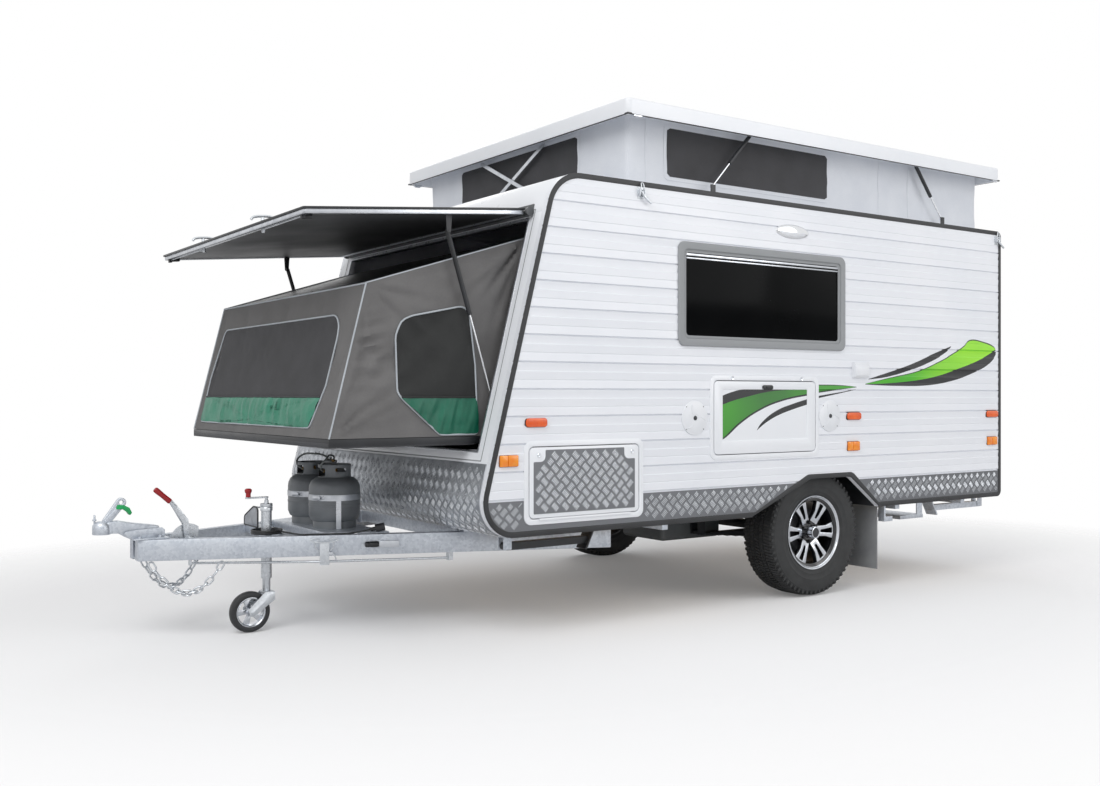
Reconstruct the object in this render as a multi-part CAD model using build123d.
"""Pop-top camper caravan with a front slide-out bed, standing parked on its jockey wheel.

Millimetres. +X points forward along the drawbar, +Y to the left side, +Z up.
The origin is on the ground at the middle of the overall length.
"""
import math
import os

from build123d import *

# Body outline, seen from the left side
BODY_REAR_X = -2713.0
FLOOR_Z = 495.0
DECK_Z = 2235.0
BODY_HALF_WIDTH = 1138.0
WALL = 30.0
FRONT_FOOT_X = 1324.6
FRONT_LEAN_DEG = 14.43
FLOOR_END_X = 1000.0
NOSE_RADIUS = 200.0
CHIN_RADIUS = 170.0
REAR_RADIUS = 40.0
SKIN = 3.0
TRIM_WIDTH = 27.0
TRIM_DEPTH = 6.0
WALL_INNER = BODY_HALF_WIDTH - WALL

# Wheel arch in the side walls and the liner inside it
ARCH_FEET_X = (-1482.0, -435.0)
ARCH_TOP_X = (-1232.0, -893.0)
ARCH_TOP_Z = 684.0
ARCH_CORNER = 70.0
LINER_DEPTH = 318.0
LINER_INNER_Y = WALL_INNER - LINER_DEPTH
LINER_TOP_Z = 815.0
LINER_WALL = 12.0
LINER_CUT = 110.0

# Wheels, axle and springs
AXLE_X = -1005.0
TYRE_RADIUS = 366.5
TYRE_WIDTH = 235.0
RIM_RADIUS = 208.0
WHEEL_Y = LINER_INNER_Y + 175.0
AXLE_HALF = 25.0
SPRING_Y = 560.0
SPRING_LENGTH = 880.0
SPRING_WIDTH = 60.0
SPRING_EYE = 15.0
LEAF = 7.0
LEAVES = 5
CHASSIS_LOW_Z = 410.0

# Openings in the left side: low x, low z, high x, high z of the outer frame
WINDOW = (-1179.0, 1414.0, 101.0, 1957.0)
PICNIC = (-960.0, 814.0, -122.0, 1264.0)
BOOT = (333.0, 548.0, 1053.0, 943.0)
FLANGE_WIDTH = 26.0
FLANGE_DEPTH = 6.0
LEAF_GAP = 4.0
RECESS_DEPTH = 70.0
HINGE_RADIUS = 3.0
HINGE_OUT = 3.0
HINGE_DROP = 2.0

# Rear entry door: low y, low z, high y, high z of the outer frame
DOOR = (-20.0, 520.0, 650.0, 2150.0)

# Front bed opening and its hatch
OPENING_HALF_WIDTH = BODY_HALF_WIDTH - 138.0
OPENING_SILL_Z = 900.0
OPENING_TOP_Z = 2005.0
FRAME_LOW_Z = 840.0
HATCH_HINGE_Z = 2036.0
HATCH_HINGE_OUT = 24.0
HATCH_REST_DEG = 5.0
HATCH_LENGTH = 1150.0
HATCH_HALF_WIDTH = OPENING_HALF_WIDTH + 30.0
HATCH_UNDER = -12.0
HATCH_TOP = 18.0
RAIL_RADIUS = 14.0

# Slide-out bed and its tent
BED_FRONT_X = 1948.0
BED_REAR_X = 20.0
BED_HALF_WIDTH = OPENING_HALF_WIDTH - 50.0
BED_TOP_Z = 965.0
BED_THICKNESS = 40.0
MATTRESS_HEIGHT = 90.0
BED_TRAVEL = 760.0
TENT_TOP_Z = 1925.0
TENT_EAVE_Z = 1660.0
CLOTH = 5.0

# Lifting roof and its canvas
ROOF_FRONT_X = 453.0
ROOF_REAR_X = BODY_REAR_X + 47.0
ROOF_HALF_WIDTH = BODY_HALF_WIDTH + 30.0
ROOF_TOP_Z = 2643.0
SKIRT_Z = 2559.0
SKIRT = 20.0
ROOF_THICKNESS = 30.0
ROOF_TRAVEL = 312.0
CANVAS_FRONT_X = 355.0
CANVAS_REAR_X = BODY_REAR_X + 109.0
CANVAS_HALF_WIDTH = BODY_HALF_WIDTH - 98.0

# Gas struts, each by its tube end and its rod end in x, z
STRUT_TUBE_RADIUS = 11.0
STRUT_ROD_RADIUS = 5.0
STRUT_SLIDE_GAP = 0.06
EYE_HALF = 6.0
EAR_OUT = 12.5
HATCH_STRUT_TOP = (1369.0, 1922.0)
HATCH_STRUT_FOOT = (1135.0, 1174.0)
HATCH_STRUT_Y = OPENING_HALF_WIDTH - 24.0
HATCH_TUBE = 405.0
ROOF_FRONT_STRUT = ((-480.0, 2592.0), (-189.0, 2274.0))
ROOF_REAR_STRUT = ((-1900.0, 2592.0), (-2160.0, 2277.0))
ROOF_STRUT_Y = ROOF_HALF_WIDTH - 83.0
ROOF_TUBE = 240.0

# Lifting scissors
SCISSOR_HALF_SPAN = 322.0
SCISSOR_FOOT_Z = 2256.0
SCISSOR_HEAD_Z = 2562.0
SCISSOR_BAR = 22.0
SCISSOR_THICKNESS = 5.0
SCISSOR_X = (CANVAS_FRONT_X + 29.0, CANVAS_REAR_X - 12.0)

# Chassis and drawbar
RAIL_HEIGHT = 100.0
RAIL_WIDTH = 50.0
RAIL_TOP_Z = 475.0
RAIL_FRONT = (2524.0, 73.0)
RAIL_KNEE = (389.0, 950.0)
CHASSIS_REAR_X = BODY_REAR_X + 63.0

# Coupling, jockey wheel and gas bottles
COUPLING_NOSE_X = 2713.0
COUPLING_Z = 540.0
JOCKEY_X = 1935.0
JOCKEY_Y = 171.0
JOCKEY_TUBE_LOW_Z = 257.0
JOCKEY_TUBE_TOP_Z = 600.0
JOCKEY_CAP = 10.0
JOCKEY_WHEEL_RADIUS = 100.0
JOCKEY_WHEEL_X = 2020.0
BOTTLE_X = 1560.0
BOTTLE_Y = 140.0
BOTTLE_RADIUS = 132.0
BOTTLE_BASE_Z = 482.0
BOTTLE_HEIGHT = 330.0

# Corner steadies, folded: pivot x and foot x
STEADY_FRONT = (1075.0, 600.0)
STEADY_REAR = (BODY_REAR_X + 73.0, BODY_REAR_X + 570.0)
STEADY_Y = BODY_HALF_WIDTH - 128.0
STEADY_PIVOT_Z = 440.0
STEADY_HALF = 20.0

# Chassis and small pieces
CHASSIS_FRONT_X = 1090.0
CROSS_MEMBER_X = (CHASSIS_FRONT_X - 30.0, 300.0, -250.0, -1750.0, CHASSIS_REAR_X + 50.0)
OUTRIGGER_X = (160.0, -1700.0, CHASSIS_REAR_X + 300.0)
GUARD_BEAM_X = (1800.0, 1880.0)
PACKER_X = (450.0, 1095.0)
BALL_RADIUS = 25.5
BRAKE_ROD_Z = 345.0
BRAKE_ROD_RADIUS = 6.0
BRAKE_FRONT = (2266.0, 60.0)
BRAKE_CLIP_X = 1738.0
BRAKE_REAR_X = 1150.0
PLUG_HOLDER_X = (1490.0, 1400.0)
PLUG_HOLDER_Z = 428.0
WHEEL_BRACKET = (-1590.0, 1108.0)
HANDBRAKE_Y = 60.0
STEM_RADIUS = 19.0
REAR_LAMP_X = BODY_REAR_X + 101.0
OVAL_LAMPS = ((985.0, 1030.0), (-1258.0, 1037.0), (REAR_LAMP_X, 1037.0))
OVAL_LAMP_SIZE = (126.0, 47.0)
SQUARE_LAMPS = ((1139.0, 854.0), (-1254.0, 862.0), (REAR_LAMP_X, 862.0))
SQUARE_LAMP_SIZE = (104.0, 57.0)
LAMP_DEPTH = 16.0
SPEAKER_RADIUS = 90.0
SPEAKER_DEPTH = 16.0
OUTLET_SIZE = (130.0, 92.0)
OUTLET_DEPTH = 30.0
AWNING_LAMP_SIZE = (262.0, 82.0)
AWNING_LAMP_DEPTH = 26.0
TAIL_LAMP = (130.0, 310.0, 32.0)
TAIL_LAMP_Z = 855.0
SPEAKERS = ((-13.0, 1040.0), (-1052.0, 1040.0))
OUTLET = (-1311.0, 1307.0)
AWNING_LAMP = (-747.0, 2072.0)
ROOF_CLAMP_X = (350.0, BODY_REAR_X + 50.0)
ROOF_CLAMP_DROP = (95.0, 30.0)
MUDFLAP_X = -1540.0
MUDFLAP_LOW_Z = 110.0

LEFT = 1
RIGHT = -1
SIDES = {"left": LEFT, "right": RIGHT}

LEAN = math.radians(FRONT_LEAN_DEG)
SLOPE_OUT = (math.cos(LEAN), math.sin(LEAN))


def slope_x(z):
    """x of the leaning front plane at height z."""
    return FRONT_FOOT_X - (z - FLOOR_Z) * math.tan(LEAN)


def on_slope(z, out=0.0):
    """A point x, z on the front plane at height z, moved out along its normal."""
    return (slope_x(z) + out * SLOPE_OUT[0], z + out * SLOPE_OUT[1])


def box(x0, x1, y0, y1, z0, z1):
    """A box between two corners."""
    size = Box(x1 - x0, y1 - y0, z1 - z0)
    return Pos((x0 + x1) / 2, (y0 + y1) / 2, (z0 + z1) / 2) * size


def from_side(face, y0, y1):
    """Extrude a face drawn in x, z across the width from y0 to y1."""
    return extrude(Plane.XZ.offset(-y1) * face, amount=y1 - y0)


def from_front(face, x0, x1):
    """Extrude a face drawn in y, z along the length from x0 to x1."""
    return extrude(Plane.YZ.offset(x0) * face, amount=x1 - x0)


def outline(points, radii):
    """A closed face with one corner radius for each point."""
    return make_face(FilletPolyline(*points, radius=radii, close=True))


def plate(low_u, low_v, high_u, high_v, radius=0.0, grow=0.0):
    """A rectangle by its corners, grown by a margin, with rounded corners."""
    width = high_u - low_u + 2 * grow
    height = high_v - low_v + 2 * grow
    centre = Pos((low_u + high_u) / 2, (low_v + high_v) / 2)
    if radius > 0:
        return centre * RectangleRounded(width, height, radius)
    return centre * Rectangle(width, height)


def rod_between(start, end, radius):
    """A round bar from start to end."""
    a, b = Vector(*start), Vector(*end)
    return extrude(Plane(origin=a, z_dir=b - a) * Circle(radius), amount=(b - a).length)


def bar_between(start, end, width, height, up=(0, 0, 1)):
    """A rectangular bar from start to end, height measured along up."""
    a, b = Vector(*start), Vector(*end)
    along = b - a
    across = Vector(*up).cross(along)
    return extrude(Plane(origin=a, x_dir=across, z_dir=along) * Rectangle(width, height), amount=along.length)


def disc_y(x, z, y0, y1, radius, bore=0.0):
    """A disc or ring about an axis along Y."""
    face = Pos(x, z) * Circle(radius)
    if bore:
        face -= Pos(x, z) * Circle(bore)
    return from_side(face, y0, y1)


def mirrored(shape):
    """The same piece on the other side."""
    return mirror(shape, about=Plane.XZ)


def save(name, *shapes):
    """Write the solids of one sub-part."""
    solids = [solid for shape in shapes for solid in shape.solids()]
    export_step(Compound(children=solids) if len(solids) > 1 else solids[0], f"parts/{name}.step")


BODY_POINTS = (
    (BODY_REAR_X, FLOOR_Z),
    (FRONT_FOOT_X, FLOOR_Z),
    (slope_x(DECK_Z), DECK_Z),
    (BODY_REAR_X, DECK_Z),
)
BODY_RADII = (REAR_RADIUS, CHIN_RADIUS, NOSE_RADIUS, REAR_RADIUS)


def body_face():
    """The whole side outline."""
    return outline(BODY_POINTS, BODY_RADII)


def inner_face(depth):
    """The side outline moved in by depth."""
    return offset(body_face(), amount=-depth, kind=Kind.INTERSECTION)


def belt(depth=WALL):
    """The band that runs round the side outline: floor, front, deck and rear."""
    return body_face() - inner_face(depth)


def arch_face(grow=0.0):
    """The wheel arch cut-out, open at the bottom."""
    low = FLOOR_Z - 40
    points = (
        (ARCH_FEET_X[0] - grow, low),
        (ARCH_FEET_X[0] - grow, FLOOR_Z + 5),
        (ARCH_TOP_X[0] - grow * 0.7, ARCH_TOP_Z + grow),
        (ARCH_TOP_X[1] + grow * 0.7, ARCH_TOP_Z + grow),
        (ARCH_FEET_X[1] + grow, FLOOR_Z + 5),
        (ARCH_FEET_X[1] + grow, low),
    )
    return outline(points, (0, 0, ARCH_CORNER, ARCH_CORNER, 0, 0))


def hinge_rail():
    """The round hinge rail of the hatch on its flange, with a cap at each end."""
    hinge_x, hinge_z = on_slope(HATCH_HINGE_Z, HATCH_HINGE_OUT)
    flange = outline(
        (on_slope(HATCH_HINGE_Z - 12), on_slope(HATCH_HINGE_Z - 12, HATCH_HINGE_OUT),
         on_slope(HATCH_HINGE_Z + 12, HATCH_HINGE_OUT), on_slope(HATCH_HINGE_Z + 12, 5),
         on_slope(HATCH_HINGE_Z + 45, 5), on_slope(HATCH_HINGE_Z + 45)), 0)
    flange += Pos(hinge_x, hinge_z) * Circle(RAIL_RADIUS)
    rail = from_side(flange, -HATCH_HALF_WIDTH, HATCH_HALF_WIDTH)
    for side in SIDES.values():
        rail += disc_y(hinge_x, hinge_z, *sorted((side * HATCH_HALF_WIDTH, side * (HATCH_HALF_WIDTH + 12))), 22)
    return rail


def build_walls():
    """Side walls, floor, front, nose, deck ring and rear wall."""
    for name, side in SIDES.items():
        face = body_face() - arch_face()
        face -= plate(*WINDOW, radius=60, grow=-FLANGE_WIDTH)
        if side == LEFT:
            face -= plate(*PICNIC, radius=30, grow=-FLANGE_WIDTH)
            face -= plate(*BOOT, radius=30, grow=-FLANGE_WIDTH)
        wall = from_side(face, WALL_INNER, BODY_HALF_WIDTH)
        save(f"side_wall_{name}", wall if side == LEFT else mirrored(wall))

    band = belt()
    ring_low_x = CANVAS_FRONT_X + 15
    floor_region = plate(BODY_REAR_X + WALL, FLOOR_Z - 10, FLOOR_END_X, FLOOR_Z + WALL + 1)
    floor = from_side(band & floor_region, -WALL_INNER, WALL_INNER)
    for side in SIDES.values():
        floor -= box(
            ARCH_FEET_X[0] - LINER_WALL, ARCH_FEET_X[1] + LINER_WALL,
            *sorted((side * (LINER_INNER_Y - LINER_WALL), side * 1200)), FLOOR_Z - 20, FLOOR_Z + 100,
        )
    save("floor", floor)
    chin_region = plate(FLOOR_END_X, FLOOR_Z - 10, FRONT_FOOT_X + 80, FRAME_LOW_Z)
    save("front_wall_lower", from_side(band & chin_region, -WALL_INNER, WALL_INNER))
    frame = from_side(band & plate(slope_x(DECK_Z) - 100, FRAME_LOW_Z, FRONT_FOOT_X, HATCH_HINGE_Z), -WALL_INNER, WALL_INNER)
    frame -= box(700, 1400, -OPENING_HALF_WIDTH, OPENING_HALF_WIDTH, OPENING_SILL_Z, OPENING_TOP_Z)
    save("front_opening_frame", frame, hinge_rail())
    nose = band & plate(ring_low_x, HATCH_HINGE_Z, 1100, DECK_Z + 10)
    save("nose_panel", from_side(nose, -WALL_INNER, WALL_INNER))
    rear = from_side(band & plate(BODY_REAR_X - 10, FLOOR_Z - 10, BODY_REAR_X + WALL, DECK_Z + 10),
                     -WALL_INNER, WALL_INNER)
    rear -= from_front(plate(*DOOR, radius=30, grow=-FLANGE_WIDTH), BODY_REAR_X - 10, BODY_REAR_X + WALL + 10)
    save("rear_wall", rear)
    ring = box(BODY_REAR_X + WALL, ring_low_x, -WALL_INNER, WALL_INNER, DECK_Z - WALL, DECK_Z)
    inside = CANVAS_HALF_WIDTH - 12
    ring -= box(CANVAS_REAR_X + 12, CANVAS_FRONT_X - 12, -inside, inside, DECK_Z - WALL - 1, DECK_Z + 1)
    save("deck_ring", ring)


def build_skins():
    """Chequer plate along the sill and round the chin, and the edge trims."""
    low_band = plate(BODY_REAR_X, FLOOR_Z, 1400, 665)
    chin = offset(body_face(), amount=SKIN, kind=Kind.ARC) - body_face()
    chin_start_x = FRONT_FOOT_X - CHIN_RADIUS * math.tan((math.pi / 2 + LEAN) / 2)
    chin &= plate(chin_start_x, FLOOR_Z - 10, 1400, FRAME_LOW_Z)
    sheets = [from_side(chin, -WALL_INNER, WALL_INNER)]
    trims = []
    for side in SIDES.values():
        ring = body_face() - inner_face(TRIM_WIDTH) + (arch_face(TRIM_WIDTH) & body_face())
        ring -= arch_face()
        skirt = (inner_face(TRIM_WIDTH) & low_band) - arch_face(TRIM_WIDTH)
        if side == LEFT:
            skirt -= plate(*BOOT, radius=40, grow=0.3)
        trim = from_side(ring, BODY_HALF_WIDTH, BODY_HALF_WIDTH + TRIM_DEPTH)
        sheet = from_side(skirt, BODY_HALF_WIDTH, BODY_HALF_WIDTH + SKIN)
        trims.append(trim if side == LEFT else mirrored(trim))
        sheets.append(sheet if side == LEFT else mirrored(sheet))
    save("edge_trims", *trims)
    save("chequer_skins", *sheets)


def build_liners():
    """A liner of flat plates over each wheel, open at the bottom and outward, and its mudflap."""
    rear, front = ARCH_FEET_X
    top = LINER_TOP_Z
    inside = ((rear, FLOOR_Z), (rear, top - LINER_CUT), (rear + LINER_CUT, top), (front - LINER_CUT, top),
              (front, top - LINER_CUT), (front, FLOOR_Z))
    bow = LINER_WALL * math.tan(math.pi / 8)
    outside = (
        (rear - LINER_WALL, FLOOR_Z), (rear - LINER_WALL, top - LINER_CUT + bow),
        (rear + LINER_CUT - bow, top + LINER_WALL), (front - LINER_CUT + bow, top + LINER_WALL),
        (front + LINER_WALL, top - LINER_CUT + bow), (front + LINER_WALL, FLOOR_Z))
    plates = []
    for index in range(len(inside) - 1):
        corners = (inside[index], inside[index + 1], outside[index + 1], outside[index])
        plates.append(from_side(make_face(Polyline(*corners, close=True)), LINER_INNER_Y, WALL_INNER))
    back = make_face(Polyline(*outside, close=True))
    plates.append(from_side(back, LINER_INNER_Y - LINER_WALL, LINER_INNER_Y))
    half = TYRE_WIDTH / 2 + 2.5
    plates.append(box(MUDFLAP_X - 4, MUDFLAP_X + 4, WHEEL_Y - half, WHEEL_Y + half, MUDFLAP_LOW_Z, FLOOR_Z))
    save("wheel_arch_liners", *plates, *[mirrored(one) for one in plates])


def flange_ring(rect, radius):
    """The raised frame round an opening, with its hinge barrel along the bottom."""
    ring = plate(*rect, radius=radius) - plate(*rect, radius=radius - 10, grow=-FLANGE_WIDTH)
    return from_side(ring, BODY_HALF_WIDTH, BODY_HALF_WIDTH + FLANGE_DEPTH)


def bottom_hinge(rect):
    """y, z of the hinge axis under a leaf, and the ends of its barrel in x."""
    leaf_low = rect[1] + FLANGE_WIDTH + LEAF_GAP
    axis = (BODY_HALF_WIDTH + FLANGE_DEPTH + HINGE_OUT, leaf_low - HINGE_DROP)
    ends = (rect[0] + FLANGE_WIDTH + 40, rect[2] - FLANGE_WIDTH - 40)
    return axis, ends


def hinged_leaf(rect, radius):
    """The leaf that fills an opening, flush with its frame."""
    face = plate(*rect, radius=radius, grow=-FLANGE_WIDTH - LEAF_GAP)
    return from_side(face, WALL_INNER + 2, BODY_HALF_WIDTH + FLANGE_DEPTH)


def hinge_barrel(rect):
    """The barrel and lip that a bottom-hung leaf turns on."""
    (y, z), ends = bottom_hinge(rect)
    face = Pos(y, z) * Circle(HINGE_RADIUS)
    face += plate(y - HINGE_OUT, z - 10, y + HINGE_RADIUS, z)
    return from_front(face, *ends)


def latch(x, z, radius=11.0):
    """A round lock barrel on a leaf."""
    out = BODY_HALF_WIDTH + FLANGE_DEPTH
    return disc_y(x, z, out, out + 4, radius)


def build_side_openings():
    """Windows, the picnic table hatch with its recess, and the boot door."""
    frames, panes = [], []
    for side in SIDES.values():
        ring = plate(*WINDOW, radius=70) - plate(*WINDOW, radius=50, grow=-FLANGE_WIDTH - 8)
        frame = from_side(ring, BODY_HALF_WIDTH, BODY_HALF_WIDTH + 14)
        pane = from_side(plate(*WINDOW, radius=60, grow=-FLANGE_WIDTH - 0.3), WALL_INNER + 8, BODY_HALF_WIDTH)
        frames.append(frame if side == LEFT else mirrored(frame))
        panes.append(pane if side == LEFT else mirrored(pane))
    save("window_frames", *frames)
    save("window_panes", *panes)

    handle_x = (PICNIC[0] + PICNIC[2]) / 2
    top_z = PICNIC[3] - FLANGE_WIDTH - 34
    leaf = hinged_leaf(PICNIC, 28)
    leaf += latch(PICNIC[0] + 120, top_z) + latch(PICNIC[2] - 120, top_z)
    out = BODY_HALF_WIDTH + FLANGE_DEPTH
    leaf += box(handle_x - 50, handle_x + 50, out, out + 8, top_z - 4, top_z + 14)
    save("picnic_leaf", leaf)
    tray = from_side(plate(*PICNIC, grow=LINER_WALL - FLANGE_WIDTH), WALL_INNER - RECESS_DEPTH, WALL_INNER)
    tray -= from_side(plate(*PICNIC, grow=-FLANGE_WIDTH), WALL_INNER - RECESS_DEPTH + LINER_WALL, WALL_INNER + 1)
    save("locker_frames", flange_ring(PICNIC, 45) + hinge_barrel(PICNIC), tray,
         flange_ring(BOOT, 45) + hinge_barrel(BOOT))

    boot = hinged_leaf(BOOT, 28)
    top_z = BOOT[3] - FLANGE_WIDTH - 40
    boot += latch(BOOT[0] + 95, top_z) + latch(BOOT[2] - 95, top_z)
    save("boot_door", boot)


def build_rear():
    """Entry door, lamps, plate holder and step on the rear wall."""
    out = BODY_REAR_X - FLANGE_DEPTH
    ring = plate(*DOOR, radius=45) - plate(*DOOR, radius=35, grow=-FLANGE_WIDTH)
    frame = from_front(ring, out, BODY_REAR_X)
    hinge_y = DOOR[2] - FLANGE_WIDTH - LEAF_GAP + HINGE_DROP
    hinge_x = out - HINGE_OUT
    barrel = Pos(hinge_x, hinge_y) * Circle(HINGE_RADIUS)
    barrel += plate(hinge_x - HINGE_RADIUS, hinge_y, out, hinge_y + 10)
    low, high = DOOR[1] + 90, DOOR[3] - 90
    frame += extrude(Plane.XY.offset(low) * barrel, amount=high - low)
    save("door_frame", frame)
    face = plate(*DOOR, radius=28, grow=-FLANGE_WIDTH - LEAF_GAP)
    door = from_front(face, out, BODY_REAR_X + WALL - 2)
    handle_y = DOOR[0] + 90
    handle = box(out - 26, out - 16, handle_y - 14, handle_y + 14, 1120, 1260)
    for z in (1130, 1250):
        handle += box(out - 20, out, handle_y - 10, handle_y + 10, z - 10, z + 10)
    save("entry_door", door + handle)
    tread = box(BODY_REAR_X, BODY_REAR_X + 250, 95, 535, 300, 325)
    for y in (99, 531):
        tread += box(BODY_REAR_X + 8, BODY_REAR_X + 70, y - 4, y + 4, 312, FLOOR_Z)
    return tread


def build_roof():
    """The lifting roof pan and the canvas under it."""
    top = plate(ROOF_REAR_X, -ROOF_HALF_WIDTH, ROOF_FRONT_X, ROOF_HALF_WIDTH, radius=35)
    inner = plate(ROOF_REAR_X, -ROOF_HALF_WIDTH, ROOF_FRONT_X, ROOF_HALF_WIDTH, radius=20, grow=-SKIRT)
    pan = extrude(Plane.XY.offset(SKIRT_Z) * top, amount=ROOF_TOP_Z - SKIRT_Z)
    edges = pan.faces().sort_by(Axis.Z)[-1].edges()
    pan = fillet(edges, 12)
    pan -= extrude(Plane.XY.offset(SKIRT_Z - 1) * inner, amount=ROOF_TOP_Z - SKIRT_Z - ROOF_THICKNESS + 1)
    hatch = box(-1350, -950, -200, 200, ROOF_TOP_Z, ROOF_TOP_Z + 22)
    hatch = fillet(hatch.edges().filter_by(Axis.Z), 40)
    above, _ = roof_strut_brackets()
    save("roof_pan", pan, hatch, *above)

    wall = plate(CANVAS_REAR_X, -CANVAS_HALF_WIDTH, CANVAS_FRONT_X, CANVAS_HALF_WIDTH, radius=12)
    inside = plate(CANVAS_REAR_X, -CANVAS_HALF_WIDTH, CANVAS_FRONT_X, CANVAS_HALF_WIDTH, radius=8, grow=-CLOTH)
    height = ROOF_TOP_Z - ROOF_THICKNESS - DECK_Z
    save("roof_canvas", extrude(Plane.XY.offset(DECK_Z) * (wall - inside), amount=height))


def strut_line(tube_end, rod_end):
    """Unit direction and length from the tube's eye to the rod's eye."""
    dx, dz = rod_end[0] - tube_end[0], rod_end[1] - tube_end[1]
    length = math.hypot(dx, dz)
    return (dx / length, dz / length), length


def strut(tube_end, rod_end, y, tube_length):
    """Tube and rod of one gas strut in the plane y, each with its eye."""
    (ux, uz), length = strut_line(tube_end, rod_end)
    eye = 9.0
    head = (tube_end[0] + ux * tube_length, tube_end[1] + uz * tube_length)
    tube = rod_between((tube_end[0], y, tube_end[1]), (head[0], y, head[1]), STRUT_TUBE_RADIUS)
    tube += disc_y(*tube_end, y - 5, y + 5, eye)
    bore_start = (tube_end[0] + ux * 25, y, tube_end[1] + uz * 25)
    bore_end = (head[0] + ux * 5, y, head[1] + uz * 5)
    tube -= rod_between(bore_start, bore_end, STRUT_ROD_RADIUS + STRUT_SLIDE_GAP)
    tube -= disc_y(*tube_end, y - 20, y - 5, eye + 5)
    tube -= disc_y(*tube_end, y + 5, y + 20, eye + 5)
    tube -= disc_y(*tube_end, y - 6, y + 6, 4.06)
    stroke_left = 30.0
    start = (tube_end[0] + ux * (tube_length - stroke_left), y, tube_end[1] + uz * (tube_length - stroke_left))
    rod = rod_between(start, (rod_end[0] - ux * 4, y, rod_end[1] - uz * 4), STRUT_ROD_RADIUS)
    rod += disc_y(*rod_end, y - EYE_HALF, y + EYE_HALF, eye)
    return tube, rod


def build_struts():
    """Gas struts of the hatch and of the roof."""
    table = (
        ("hatch_strut", HATCH_STRUT_TOP, HATCH_STRUT_FOOT, HATCH_STRUT_Y, HATCH_TUBE),
        ("roof_front_strut", *ROOF_FRONT_STRUT, ROOF_STRUT_Y, ROOF_TUBE),
        ("roof_rear_strut", *ROOF_REAR_STRUT, ROOF_STRUT_Y, ROOF_TUBE),
    )
    for name, tube_end, rod_end, y, tube_length in table:
        tube, rod = strut(tube_end, rod_end, y, tube_length)
        save(f"{name}_tubes", tube, mirrored(tube))
        save(f"{name}_rods", rod, mirrored(rod))


def hatch_plane():
    """Plane of the open hatch: x along the panel from the hinge, z up out of its skin."""
    x, z = on_slope(HATCH_HINGE_Z, HATCH_HINGE_OUT)
    down = math.radians(HATCH_REST_DEG)
    return Plane(origin=(x, 0, z), x_dir=(math.cos(down), 0, -math.sin(down)), z_dir=(math.sin(down), 0, math.cos(down)))


def build_hatch():
    """Front hatch panel, its edge rails, handles, strut brackets and the hinge rail."""
    plane = hatch_plane()
    start = RAIL_RADIUS + 2
    edge = 36.0
    core = Pos((start + edge + HATCH_LENGTH - edge) / 2, 0, (HATCH_UNDER + HATCH_TOP) / 2) * Box(
        HATCH_LENGTH - start - 2 * edge, 2 * (HATCH_HALF_WIDTH - edge), HATCH_TOP - HATCH_UNDER - 4)
    frame = Pos((start + HATCH_LENGTH) / 2, 0, (HATCH_UNDER + HATCH_TOP) / 2) * Box(
        HATCH_LENGTH - start, 2 * HATCH_HALF_WIDTH, HATCH_TOP - HATCH_UNDER)
    frame -= Pos((start + HATCH_LENGTH) / 2, 0, (HATCH_UNDER + HATCH_TOP) / 2) * Box(
        HATCH_LENGTH - start - 2 * edge, 2 * (HATCH_HALF_WIDTH - edge), 100)
    panel = plane.location * (core + frame)
    handles = []
    for y in (-437.0, 437.0):
        grip = Pos(HATCH_LENGTH - 70, y, HATCH_TOP + 16) * Rot(X=90) * Cylinder(7, 80)
        stem = Pos(HATCH_LENGTH - 70, y, HATCH_TOP + 8) * Cylinder(8, 20)
        base = Pos(HATCH_LENGTH - 70, y, HATCH_TOP + 1.5) * Cylinder(24, 3)
        handles.append(plane.location * (grip + stem + base))

    brackets = []
    x, z = HATCH_STRUT_TOP
    pin = disc_y(x, z, HATCH_STRUT_Y - 6, HATCH_STRUT_Y + EAR_OUT, 4.0)
    local = plane.to_local_coords(Vector(x, 0, z))
    ear = Pos(local.X, 0, (local.Z + HATCH_UNDER) / 2 - 4) * Box(40, 5, HATCH_UNDER - local.Z + 8)
    ear = Pos(0, HATCH_STRUT_Y + EAR_OUT + 2.5, 0) * (plane.location * ear)
    brackets += [pin + ear, mirrored(pin + ear)]
    save("hatch_panel", panel, *handles, *brackets)

    studs = []
    x, z = HATCH_STRUT_FOOT
    for side in SIDES.values():
        stud = disc_y(x, z, HATCH_STRUT_Y + EYE_HALF + 0.4, OPENING_HALF_WIDTH, 8)
        studs.append(stud if side == LEFT else mirrored(stud))
    return studs


def roof_strut_brackets():
    """Pins that carry the roof struts, on the roof and on the deck."""
    above, below = [], []
    for tube_end, rod_end in (ROOF_FRONT_STRUT, ROOF_REAR_STRUT):
        pin = disc_y(*tube_end, ROOF_STRUT_Y - 6, ROOF_STRUT_Y + EAR_OUT, 4.0)
        ceiling = ROOF_TOP_Z - ROOF_THICKNESS
        ear = box(tube_end[0] - 16, tube_end[0] + 16, ROOF_STRUT_Y + EAR_OUT,
                  ROOF_STRUT_Y + EAR_OUT + 5, tube_end[1] - 8, ceiling)
        above += [pin + ear, mirrored(pin + ear)]
        post = box(rod_end[0] - 16, rod_end[0] + 16, ROOF_STRUT_Y + EYE_HALF + 0.4,
                   ROOF_STRUT_Y + EYE_HALF + 6.4, DECK_Z, rod_end[1] + 10)
        below += [post, mirrored(post)]
    return above, below


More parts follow.
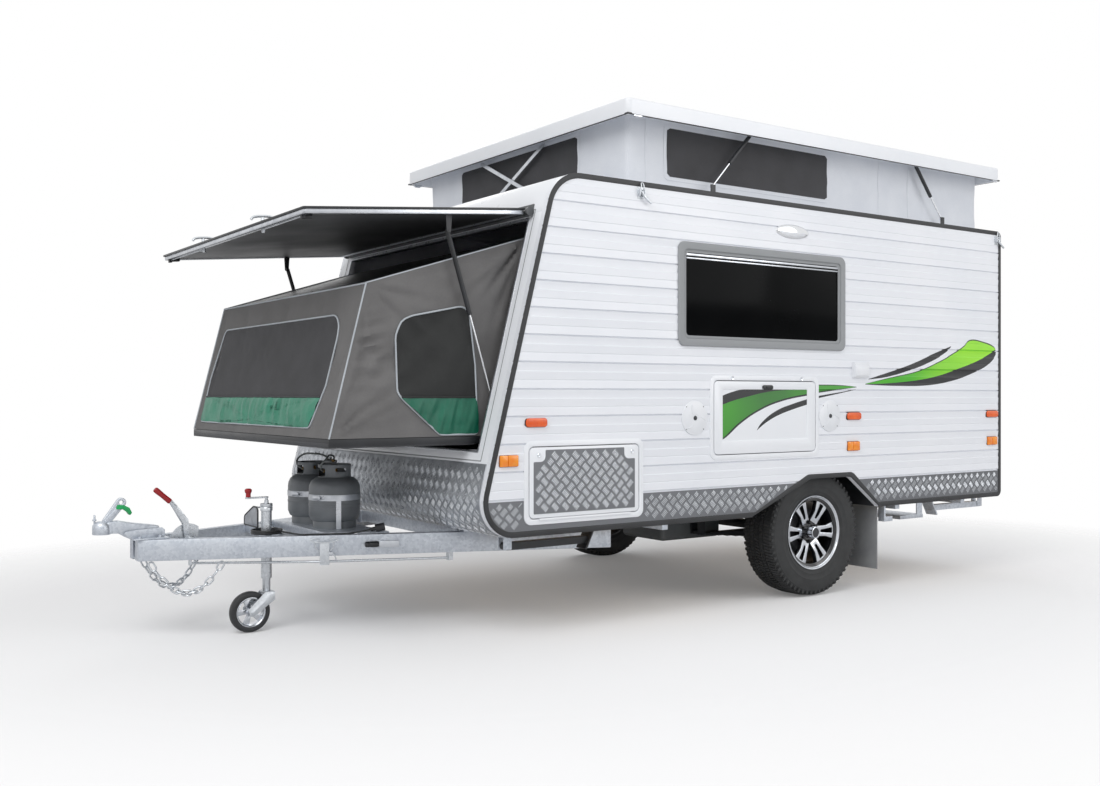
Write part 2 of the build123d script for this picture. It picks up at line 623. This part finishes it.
def build_scissors():
    """Two crossed bars at the front and two at the rear, with their foot pins."""
    first, second, feet = [], [], []
    low_z, high_z = SCISSOR_FOOT_Z, SCISSOR_HEAD_Z
    span = SCISSOR_HALF_SPAN
    half = SCISSOR_THICKNESS / 2
    for centre, outward in zip(SCISSOR_X, (1, -1)):
        inner_x = centre
        outer_x = centre + outward * (SCISSOR_THICKNESS + 2)
        a, b = Vector(inner_x, -span, low_z), Vector(inner_x, span, high_z)
        along = (b - a).normalized()
        plane = Plane(origin=(a + b) * 0.5 - Vector(half, 0, 0), x_dir=along, z_dir=(1, 0, 0))
        length = (b - a).length
        face = SlotOverall(length + SCISSOR_BAR, SCISSOR_BAR)
        face -= Pos(-length / 2, 0) * Circle(5.06)
        bar = extrude(plane * face, amount=SCISSOR_THICKNESS)
        rivet = Plane(origin=(inner_x + outward * half, 0, (low_z + high_z) / 2), z_dir=(outward, 0, 0))
        bar += extrude(rivet * Circle(5), amount=SCISSOR_THICKNESS + 2)
        first.append(bar)
        a, b = Vector(outer_x, span, low_z), Vector(outer_x, -span, high_z)
        plane = Plane(origin=(a + b) * 0.5 - Vector(half, 0, 0), x_dir=(b - a).normalized(), z_dir=(1, 0, 0))
        face = SlotOverall(length + SCISSOR_BAR, SCISSOR_BAR) - Circle(5.06)
        second.append(extrude(plane * face, amount=SCISSOR_THICKNESS))
        back = inner_x - outward * (half + 2)
        post = box(*sorted((back, back - outward * 5)), -span - 14, -span + 14, DECK_Z, low_z + 12)
        pin = Plane(origin=(back, -span, low_z), z_dir=(outward, 0, 0))
        post += extrude(pin * Circle(5), amount=half * 2 + 3)
        feet.append(post)
    save("scissor_bars_a", *first)
    save("scissor_bars_b", *second)
    return feet


def build_bed(brackets):
    """Bed base, mattress, runners and the tent over the part that slides out."""
    low = BED_TOP_Z - BED_THICKNESS
    base = box(BED_REAR_X, BED_FRONT_X, -BED_HALF_WIDTH, BED_HALF_WIDTH, low, BED_TOP_Z)
    save("bed_base", base)
    mattress = box(BED_REAR_X + 30, BED_FRONT_X - 70, -BED_HALF_WIDTH + 25, BED_HALF_WIDTH - 25,
                   BED_TOP_Z, BED_TOP_Z + MATTRESS_HEIGHT)
    save("mattress", fillet(mattress.edges().filter_by(Axis.Z), 60))
    runners = []
    for side in SIDES.values():
        inner, outer = BED_HALF_WIDTH - 50, BED_HALF_WIDTH + 50
        top = low - 0.4
        rear_x = BED_REAR_X - BED_TRAVEL - 20
        runner = box(rear_x, 1120, inner, outer, top - 20, top)
        runner += box(PICNIC[2] + 40, 1120, inner, WALL_INNER, top - 20, top)
        runner += box(rear_x, rear_x + 40, inner, inner + 40, LINER_TOP_Z + LINER_WALL, top)
        runners.append(runner if side == LEFT else mirrored(runner))
    save("lift_brackets", *brackets, *runners)

    rear_x = slope_x(TENT_TOP_Z) - WALL - 10
    lean = math.tan(LEAN)
    front_top_x = BED_FRONT_X - (TENT_EAVE_Z - BED_TOP_Z) * lean
    face = Polyline(
        (rear_x, TENT_TOP_Z), (front_top_x, TENT_EAVE_Z), (BED_FRONT_X, BED_TOP_Z),
        (slope_x(BED_TOP_Z) - WALL - 10, BED_TOP_Z), close=True)
    outer = make_face(face)
    tent = from_side(outer, -BED_HALF_WIDTH, BED_HALF_WIDTH)
    inner = Polyline(
        (rear_x - 5, TENT_TOP_Z - CLOTH), (front_top_x - CLOTH, TENT_EAVE_Z - CLOTH),
        (BED_FRONT_X - CLOTH, BED_TOP_Z - 5), (slope_x(BED_TOP_Z) - WALL - 60, BED_TOP_Z - 5), close=True)
    tent -= from_side(make_face(inner), -BED_HALF_WIDTH + CLOTH, BED_HALF_WIDTH - CLOTH)
    save("tent_canvas", tent)


def build_wheels():
    """Tyres, alloy rims and hubs, the axle and its leaf springs."""
    half = TYRE_WIDTH / 2
    profile = outline(
        ((RIM_RADIUS - 4, -half + 22), (TYRE_RADIUS - 70, -half), (TYRE_RADIUS - 6, -half + 14),
         (TYRE_RADIUS, 0), (TYRE_RADIUS - 6, half - 14), (TYRE_RADIUS - 70, half), (RIM_RADIUS - 4, half - 22)),
        (0, 30, 14, 0, 14, 30, 0))
    well = RIM_RADIUS - 14
    barrel = outline(
        ((well, -half + 18), (RIM_RADIUS + 6, -half + 12), (RIM_RADIUS + 6, -half + 18.5),
         (RIM_RADIUS - 4.4, -half + 21.4), (RIM_RADIUS - 4.4, half - 21.4),
         (RIM_RADIUS + 6, half - 18.5), (RIM_RADIUS + 6, half - 12), (well, half - 18)), 0)
    for name, side in SIDES.items():
        centre = Pos(AXLE_X, side * WHEEL_Y, TYRE_RADIUS) * Rot(X=-90 * side)
        tyre = revolve(Plane.XZ * profile, Axis.Z)
        save(f"tyre_{name}", centre * tyre)
        rim = revolve(Plane.XZ * barrel, Axis.Z)
        disc_out = half - 42
        hub_face = Circle(74) - Circle(42)
        rim += extrude(Plane.XY.offset(disc_out - 26) * hub_face, amount=26)
        for spoke in range(6):
            pair = Pos(130, 21) * Rectangle(150, 20) + Pos(130, -21) * Rectangle(150, 20)
            pair &= Circle(well + 4)
            rim += extrude(Plane.XY.offset(disc_out - 18) * (Rot(Z=60 * spoke) * pair), amount=20)
        disc_back = disc_out - 26
        hub = Pos(0, 0, (disc_back - 85) / 2) * Cylinder(40, disc_back + 85)
        hub += Pos(0, 0, disc_back - 4) * Cylinder(74, 8)
        hub += Pos(0, 0, -28) * Cylinder(134, 54)
        cap = Pos(0, 0, disc_back + 35) * Cylinder(34, 70)
        hub += fillet(cap.edges().filter_by(GeomType.CIRCLE).sort_by(Axis.Z)[-1:], 8)
        hub -= Pos(0, 0, -60) * Cylinder(18.06, 60)
        save(f"rim_{name}", centre * rim, centre * hub)

    beam = box(AXLE_X - AXLE_HALF, AXLE_X + AXLE_HALF, -WHEEL_Y + 160, WHEEL_Y - 160,
               TYRE_RADIUS - AXLE_HALF, TYRE_RADIUS + AXLE_HALF)
    for side in SIDES.values():
        ends = sorted((side * (WHEEL_Y - 160), side * (WHEEL_Y - 45)))
        beam += disc_y(AXLE_X, TYRE_RADIUS, *ends, 18)
    save("axle", beam)

    packs, hangers = [], []
    top = TYRE_RADIUS - AXLE_HALF
    for side in SIDES.values():
        y0, y1 = sorted((side * (SPRING_Y - SPRING_WIDTH / 2), side * (SPRING_Y + SPRING_WIDTH / 2)))
        pack = box(AXLE_X - 60, AXLE_X + 60, y0 - 8, y1 + 8, top - LEAVES * LEAF - 12, top - LEAVES * LEAF)
        for index in range(LEAVES):
            length = SPRING_LENGTH * (1 - 0.16 * index)
            low = top - (index + 1) * LEAF
            pack += box(AXLE_X - length / 2, AXLE_X + length / 2, y0, y1, low, low + LEAF)
        for end in (-1, 1):
            x = AXLE_X + end * SPRING_LENGTH / 2
            pack += disc_y(x, top - LEAF + SPRING_EYE, y0, y1, SPRING_EYE)
            hangers.append(box(x - 26, x + 26, y0 - 5, y1 + 5, CHASSIS_LOW_Z - 5, CHASSIS_LOW_Z))
            for ear_y in (y0 - 5, y1):
                hangers.append(box(x - 26, x + 26, ear_y, ear_y + 5, top - LEAF + 4, CHASSIS_LOW_Z - 5))
        packs.append(pack)
    save("leaf_springs", *packs, *hangers)


def rail_outer_y(x):
    """y of the outer face of the left drawbar rail at x."""
    slope = (RAIL_KNEE[1] - RAIL_FRONT[1]) / (RAIL_FRONT[0] - RAIL_KNEE[0])
    return RAIL_FRONT[1] + (RAIL_FRONT[0] - x) * slope


def rail_across():
    """Width of a drawbar rail measured along Y."""
    lean = math.atan2(RAIL_KNEE[1] - RAIL_FRONT[1], RAIL_FRONT[0] - RAIL_KNEE[0])
    return RAIL_WIDTH / math.cos(lean)


def rail_inner_y(x):
    """y of the inner face of the left drawbar rail at x."""
    return rail_outer_y(x) - rail_across()


def between_rails(x0, x1, z0, z1):
    """A cross piece from rail to rail, cut to their slant."""
    points = ((x0, -rail_inner_y(x0)), (x1, -rail_inner_y(x1)), (x1, rail_inner_y(x1)), (x0, rail_inner_y(x0)))
    return extrude(Plane.XY.offset(z0) * make_face(Polyline(*points, close=True)), amount=z1 - z0)


def build_chassis(step):
    """Drawbar and chassis rails, cross members, outriggers and steady brackets."""
    low = RAIL_TOP_Z - RAIL_HEIGHT
    across = rail_across()
    points = (RAIL_FRONT, RAIL_KNEE, (RAIL_KNEE[0], RAIL_KNEE[1] - across), (RAIL_FRONT[0], RAIL_FRONT[1] - across))
    rail = extrude(Plane.XY.offset(low) * make_face(Polyline(*points, close=True)), amount=RAIL_HEIGHT)
    main_inner = SPRING_Y - RAIL_WIDTH / 2
    main_outer = SPRING_Y + RAIL_WIDTH / 2
    runner = box(CHASSIS_REAR_X, CHASSIS_FRONT_X, main_inner, main_outer, CHASSIS_LOW_Z, FLOOR_Z)
    save("chassis_rails", rail, mirrored(rail), runner, mirrored(runner))

    members = []
    for x in CROSS_MEMBER_X:
        members.append(box(x - 25, x + 25, -main_inner, main_inner, CHASSIS_LOW_Z + 10, FLOOR_Z))
    for x in OUTRIGGER_X:
        outrigger = box(x - 20, x + 20, main_outer, WALL_INNER, FLOOR_Z - 30, FLOOR_Z)
        members += [outrigger, mirrored(outrigger)]
    members.append(between_rails(*GUARD_BEAM_X, RAIL_TOP_Z - 40, RAIL_TOP_Z))
    x0, x1 = PACKER_X
    packer = make_face(Polyline((x0, rail_inner_y(x0)), (x1, rail_inner_y(x1)), (x1, rail_outer_y(x1)),
                                (x0, rail_outer_y(x0)), close=True))
    packer = extrude(Plane.XY.offset(RAIL_TOP_Z) * packer, amount=FLOOR_Z - RAIL_TOP_Z)
    members += [packer, mirrored(packer)]
    for pivot, foot in (STEADY_FRONT, STEADY_REAR):
        for ear_y in (STEADY_Y - STEADY_HALF - 2.5, STEADY_Y + STEADY_HALF + 2.5):
            ear = box(pivot - 24, pivot + 24, ear_y - 2, ear_y + 2, STEADY_PIVOT_Z - 16, FLOOR_Z)
            members += [ear, mirrored(ear)]
        pin = disc_y(pivot, STEADY_PIVOT_Z, STEADY_Y - STEADY_HALF - 0.5, STEADY_Y + STEADY_HALF + 0.5, 6)
        members += [pin, mirrored(pin)]
    save("chassis_members", *members, step, *brake_rod(), *wheel_brackets())


def brake_rod():
    """The handbrake rod under the left rail with its clip bracket, and the plug holder on the rail."""
    z = BRAKE_ROD_Z
    knee = (BRAKE_CLIP_X, rail_outer_y(BRAKE_CLIP_X) - 24, z)
    rear = (BRAKE_REAR_X, rail_outer_y(BRAKE_REAR_X) - 24, z)
    rod = rod_between((*BRAKE_FRONT, z), knee, BRAKE_ROD_RADIUS) + rod_between(knee, rear, BRAKE_ROD_RADIUS)
    rod += box(BRAKE_REAR_X - 12, BRAKE_REAR_X + 12, rear[1] - 14, rear[1] + 14, z - 10, RAIL_TOP_Z - RAIL_HEIGHT)
    lead = BRAKE_CLIP_X + 48
    tail = BRAKE_CLIP_X - 48
    strap = bar_between((lead, rail_outer_y(lead) + 2.4, z + 40), (tail, rail_outer_y(tail) + 2.4, z + 40), 4, 116)
    rod += strap
    rod += bar_between((lead, rail_outer_y(lead) - 18, z - 16), (tail, rail_outer_y(tail) - 18, z - 16), 44, 4)
    front, back = PLUG_HOLDER_X
    holder = bar_between((front, rail_outer_y(front) + 14.3, PLUG_HOLDER_Z), (back, rail_outer_y(back) + 14.3, PLUG_HOLDER_Z),
                         26, 32)
    return [rod, holder]


def wheel_brackets():
    """The bracket with its square tube end behind each wheel."""
    x, y = WHEEL_BRACKET
    bracket = box(x, x + 14, y - 46, y, FLOOR_Z - 70, FLOOR_Z) + box(x - 65, x + 14, y - 46, y, FLOOR_Z - 100, FLOOR_Z - 70)
    return [bracket, mirrored(bracket)]


def build_steadies():
    """Four corner legs, folded up under the body, each with its foot."""
    for end, (pivot, foot) in (("front", STEADY_FRONT), ("rear", STEADY_REAR)):
        toward = 1 if foot > pivot else -1
        length = abs(foot - pivot)
        drop = math.asin((STEADY_PIVOT_Z - 14) / length)
        face = Pos(pivot + toward * length / 2, STEADY_PIVOT_Z) * Rectangle(length, 36)
        face += Pos(pivot, STEADY_PIVOT_Z) * Circle(18)
        face -= Pos(pivot, STEADY_PIVOT_Z) * Circle(6.06)
        leg = from_side(face, STEADY_Y - STEADY_HALF, STEADY_Y + STEADY_HALF)
        leg -= box(*sorted((pivot + toward * 40, foot - toward * 30)), STEADY_Y - STEADY_HALF + 4,
                   STEADY_Y + STEADY_HALF - 4, STEADY_PIVOT_Z - 20, STEADY_PIVOT_Z + 14)
        tilt = -math.degrees(drop) * toward
        foot_plate = Pos(foot, STEADY_Y, STEADY_PIVOT_Z) * Rot(Y=tilt) * Box(100, 80, 10)
        leg += foot_plate
        for name, side in SIDES.items():
            save(f"steady_{end}_{name}", leg if side == LEFT else mirrored(leg))


def build_coupling():
    """Ball coupling with its latch, and the handbrake lever behind it."""
    socket_x = COUPLING_NOSE_X - 42
    plan = Pos(socket_x, 0) * Circle(42) + plate(2400, -30, socket_x, 30)
    body = extrude(Plane.XY.offset(COUPLING_Z - 34) * plan, amount=62)
    body = fillet(body.edges().group_by(Axis.Z)[-1], 10)
    body += box(2400, 2560, -48, 48, RAIL_TOP_Z + 8, COUPLING_Z - 12)
    body += box(2380, RAIL_FRONT[0] + 20, -88, 88, RAIL_TOP_Z, RAIL_TOP_Z + 8)
    body -= Pos(socket_x, 0, COUPLING_Z - 18) * Sphere(BALL_RADIUS)
    body -= Pos(socket_x, 0, COUPLING_Z - 18 - 30) * Cylinder(BALL_RADIUS, 60)
    latch_bar = bar_between((socket_x - 20, 0, COUPLING_Z + 26), (2592, 0, 645), 26, 10, up=(0, 1, 0))

    y = HANDBRAKE_Y
    points = ((2282, 452), (2297, 550), (2359, 637), (2439, 708))
    lever = None
    for (x0, z0), (x1, z1) in zip(points, points[1:]):
        piece = bar_between((x0, y, z0), (x1, y, z1), 8, 18, up=(0, 1, 0))
        knuckle = disc_y(x1, z1, y - 9, y + 9, 4)
        lever = piece + knuckle if lever is None else lever + piece + knuckle
    grip = rod_between((2370, y, 647), (2446, y, 714), 14)
    quadrant = Pos(2282, 452) * Circle(85) & plate(2230, 452, 2360, 540)
    quadrant = from_side(quadrant, y - 22, y - 16)
    mount = box(2262, 2302, y - 16, y + 26, 440, 470)
    mount += box(2262, 2302, y + 18, rail_inner_y(2302), 440, 470)
    link_x, link_y = BRAKE_FRONT
    mount += box(link_x + 4, link_x + 16, link_y - 8, link_y + 8, BRAKE_ROD_Z - 10, 440)
    save("coupling", body + latch_bar, lever + grip, quadrant + mount)


def build_jockey():
    """Jockey wheel: clamped outer tube, sliding stem, swivelling fork and wheel."""
    x, y = JOCKEY_X, JOCKEY_Y
    tube = extrude(Plane.XY.offset(JOCKEY_TUBE_LOW_Z) * Pos(x, y) * Circle(26), amount=JOCKEY_TUBE_TOP_Z - JOCKEY_TUBE_LOW_Z)
    bore = JOCKEY_TUBE_TOP_Z - JOCKEY_CAP - JOCKEY_TUBE_LOW_Z
    tube -= extrude(Plane.XY.offset(JOCKEY_TUBE_LOW_Z) * Pos(x, y) * Circle(STEM_RADIUS + 0.06), amount=bore)
    tube += Pos(x, y, 608) * Cylinder(30, 36)
    tube += Pos(x, y, 640) * Cylinder(7, 40)
    tube += box(x - 8, x + 105, y - 5, y + 5, 652, 660)
    tube += Pos(x + 98, y, 680) * Cylinder(12, 46)
    clamp = Pos(x, y) * Circle(36) + plate(x - 20, y, x + 20, rail_inner_y(x) + 40)
    rail_side = make_face(Polyline(
        (x - 80, rail_inner_y(x - 80)), (x + 80, rail_inner_y(x + 80)), (x + 80, y + 200), (x - 80, y + 200),
        close=True))
    clamp = clamp - rail_side - Pos(x, y) * Circle(26)
    clamp = extrude(Plane.XY.offset(RAIL_TOP_Z - 80) * clamp, amount=60)
    save("jockey_tube", tube + clamp)
    top = 195.0
    stem = Pos(x, y, (top + 520) / 2) * Cylinder(STEM_RADIUS, 520 - top)
    save("jockey_stem", stem)
    fork = box(x - 30, x + 20, y - 41, y + 41, top - 8.4, top - 0.4)
    side_face = outline(
        ((x - 30, top - 0.4), (x + 20, top - 0.4), (JOCKEY_WHEEL_X + 22, JOCKEY_WHEEL_RADIUS + 14),
         (JOCKEY_WHEEL_X + 8, JOCKEY_WHEEL_RADIUS - 20), (JOCKEY_WHEEL_X - 14, JOCKEY_WHEEL_RADIUS - 16),
         (x - 30, top - 40)), (0, 0, 8, 8, 8, 0))
    for edge in (-1, 1):
        fork += from_side(side_face, *sorted((y + edge * 37, y + edge * 41)))
    fork += disc_y(JOCKEY_WHEEL_X, JOCKEY_WHEEL_RADIUS, y - 46, y + 46, 6)
    save("jockey_fork", fork)
    half = 30.0
    profile = outline(
        ((6.06, -half), (40, -half), (40, -half + 10), (62, -half + 12), (62, -half + 4), (92, -half + 2),
         (JOCKEY_WHEEL_RADIUS, -half + 12), (JOCKEY_WHEEL_RADIUS, half - 12), (92, half - 2), (62, half - 4),
         (62, half - 12), (40, half - 10), (40, half), (6.06, half)),
        (0, 0, 0, 0, 0, 4, 8, 8, 4, 0, 0, 0, 0, 0))
    wheel = revolve(Plane.XZ * profile, Axis.Z)
    save("jockey_wheel", Pos(JOCKEY_WHEEL_X, y, JOCKEY_WHEEL_RADIUS) * Rot(X=-90) * wheel)


def build_gas():
    """Tray, two gas bottles and the regulator between them."""
    tray = between_rails(BOTTLE_X - 145, BOTTLE_X + 145, RAIL_TOP_Z - 40, BOTTLE_BASE_Z)
    tray -= between_rails(BOTTLE_X - 138, BOTTLE_X + 138, RAIL_TOP_Z - 41, BOTTLE_BASE_Z - 5)
    guard_x0, guard_x1 = GUARD_BEAM_X
    guard = box(guard_x1 - 4, guard_x1, -300, -100, RAIL_TOP_Z, 580)
    guard += box(guard_x0, guard_x1, -300, -100, 576, 580)
    save("bottle_tray", tray, guard)
    r = BOTTLE_RADIUS
    base = BOTTLE_BASE_Z
    body_top = base + BOTTLE_HEIGHT - 62
    profile = outline(
        ((0, base + 18), (r - 30, base + 18), (r, base + 50), (r, body_top - 55), (46, body_top), (0, body_top + 4)),
        (0, 34, 24, 60, 10, 0))
    foot = make_face(Polyline((r - 26, base), (r - 22, base), (r - 22, base + 34), (r - 26, base + 34), close=True))
    collar = make_face(Polyline(
        (r - 52, body_top - 26), (r - 48, body_top - 26), (r - 48, body_top + 58), (r - 52, body_top + 58), close=True))
    bottle = revolve(Plane.XZ * (profile + foot + collar), Axis.Z)
    window = box(-40, 40, -200, 200, body_top + 18, body_top + 42)
    bottle -= window
    bottles = [Pos(BOTTLE_X, side * BOTTLE_Y, 0) * bottle for side in SIDES.values()]
    fittings = []
    for side in SIDES.values():
        valve = Pos(BOTTLE_X, side * BOTTLE_Y, body_top + 29.2) * Cylinder(10, 50)
        valve += Pos(BOTTLE_X, side * BOTTLE_Y, body_top + 48) * Cylinder(20, 14)
        fittings.append(valve)
    post = Pos(BOTTLE_X - 40, 0, (base + body_top + 60) / 2) * Cylinder(7, body_top + 60 - base)
    bridge = box(BOTTLE_X - 62, BOTTLE_X - 18, -34, 34, body_top + 60, body_top + 84)
    fittings += [post + bridge]
    save("gas_bottles", *bottles, *fittings)


def build_chains():
    """Two safety chains hanging between the coupling plate and a hook under each rail."""
    face = outline(
        ((-18, -6), (-12, -12), (12, -12), (18, -6), (18, 6), (12, 12), (-12, 12), (-18, 6)), 0)
    face -= outline(
        ((-11.5, -3), (-9, -5.5), (9, -5.5), (11.5, -3), (11.5, 3), (9, 5.5), (-9, 5.5), (-11.5, 3)), 0)
    link = extrude(face, amount=3, both=True)
    pitch = 27.0
    start, finish, depth = Vector(2470, 66, 350), Vector(2140, 190, 350), 110.0
    steps = 400
    track = []
    for index in range(steps + 1):
        t = index / steps
        sag = -4 * depth * t * (1 - t)
        track.append(start + (finish - start) * t + Vector(0, 0, sag))
    links = []
    travelled, due, turn = 0.0, 0.0, 0
    for here, there in zip(track, track[1:]):
        travelled += (there - here).length
        if travelled >= due:
            direction = there - here
            plane = Plane(origin=here, x_dir=direction, z_dir=direction.cross(Vector(0.36, 0.93, 0)))
            links.append(plane.location * Rot(X=90 * (turn % 2)) * link)
            due += pitch
            turn += 1
    lugs = []
    for link_end in (links[0], links[-1]):
        bounds = link_end.bounding_box()
        centre = bounds.center()
        lug = box(centre.X - 14, centre.X + 14, centre.Y - 4, centre.Y + 4, bounds.max.Z + 0.3,
                  RAIL_TOP_Z - RAIL_HEIGHT)
        lugs.append(lug)
    links += lugs
    save("safety_chains", *links, *[mirrored(one) for one in links])


def build_lead():
    """Trailer lead: coil round the jockey post, its tail along the rail, and the plug."""
    x, y = JOCKEY_X, JOCKEY_Y
    coil = Pos(x, y, RAIL_TOP_Z + 0.3 + 14) * (Cylinder(96, 28) - Cylinder(60, 28))
    save("lead_coil", coil)
    z = RAIL_TOP_Z + 4.3
    points = [(x - 60.5, y + 75.95, z), (1830, 340, z), (1780, 352, z), (1728, 378, z), (1672, 396, z),
              (1618, 424, z), (1566, 440, z + 5), (1514, 468, z + 18)]
    radii = []
    for a, b, c in zip(points, points[1:], points[2:]):
        first, second = Vector(*b) - Vector(*a), Vector(*c) - Vector(*b)
        turn = first.get_angle(second)
        shorter = min(first.length, second.length)
        radii.append(0.45 * shorter / math.tan(math.radians(turn) / 2))
    path = FilletPolyline(*points, radius=radii)
    start = Plane(origin=points[0], z_dir=Vector(*points[1]) - Vector(*points[0]))
    tube = sweep(start * Circle(4), path=path)
    print("lead tube: volume", round(tube.volume), "section times length", round(math.pi * 16 * path.length),
          "radii", [round(r) for r in radii])
    save("lead_tube", tube)
    end, before = Vector(*points[-1]), Vector(*points[-2])
    along = (end - before).normalized()
    plug = extrude(Plane(origin=end, z_dir=along) * Circle(9), amount=24)
    plug += extrude(Plane(origin=end + along * 24, z_dir=along) * Circle(19), amount=46)
    save("lead_plug", plug)


def build_fittings():
    """Lamps, speakers, outlet, roof clamps, mudflaps and the water tank."""
    out = BODY_HALF_WIDTH
    lamps = []
    for x, z in OVAL_LAMPS:
        lamps.append(from_side(Pos(x, z) * SlotOverall(*OVAL_LAMP_SIZE), out, out + LAMP_DEPTH))
    width, height = SQUARE_LAMP_SIZE
    for x, z in SQUARE_LAMPS:
        face = plate(x - width / 2, z - height / 2, x + width / 2, z + height / 2, radius=8)
        lamps.append(from_side(face, out, out + LAMP_DEPTH))
    lamps += [mirrored(lamp) for lamp in lamps]
    width, height, depth = TAIL_LAMP
    for side in SIDES.values():
        y = side * (BODY_HALF_WIDTH - 153)
        face = plate(y - width / 2, TAIL_LAMP_Z - height / 2, y + width / 2, TAIL_LAMP_Z + height / 2, radius=20)
        lamps.append(from_front(face, BODY_REAR_X - depth, BODY_REAR_X))
    fittings = lamps
    for x, z in SPEAKERS:
        fittings.append(disc_y(x, z, out, out + SPEAKER_DEPTH, SPEAKER_RADIUS))
    (x, z), (width, height) = OUTLET, OUTLET_SIZE
    face = plate(x - width / 2, z - height / 2, x + width / 2, z + height / 2, radius=10)
    fittings.append(from_side(face, out, out + OUTLET_DEPTH))
    x, z = AWNING_LAMP
    fittings.append(from_side(Pos(x, z) * SlotOverall(*AWNING_LAMP_SIZE), out, out + AWNING_LAMP_DEPTH))
    low, high = (DECK_Z - drop for drop in ROOF_CLAMP_DROP)
    for x in ROOF_CLAMP_X:
        clamp = box(x - 14, x + 14, out, out + 10, low, high) + box(x - 7, x + 7, out, out + 22, low + 12, low + 30)
        fittings += [clamp, mirrored(clamp)]
    save("side_fittings", *fittings)

    tank = box(-786, -325, 140, 520, 305, FLOOR_Z)
    tank = fillet(tank.edges().group_by(Axis.Z)[0] + tank.edges().filter_by(Axis.Z), 24)
    save("water_tank", tank, mirrored(tank))


def main():
    """Build every sub-part."""
    os.makedirs("parts", exist_ok=True)
    build_walls()
    build_skins()
    build_liners()
    build_side_openings()
    step = build_rear()
    build_roof()
    build_struts()
    studs = build_hatch()
    feet = build_scissors()
    _, posts = roof_strut_brackets()
    build_bed(studs + feet + posts)
    build_wheels()
    build_chassis(step)
    build_steadies()
    build_coupling()
    build_jockey()
    build_gas()
    build_chains()
    build_lead()
    build_fittings()


if __name__ == "__main__":
    main()
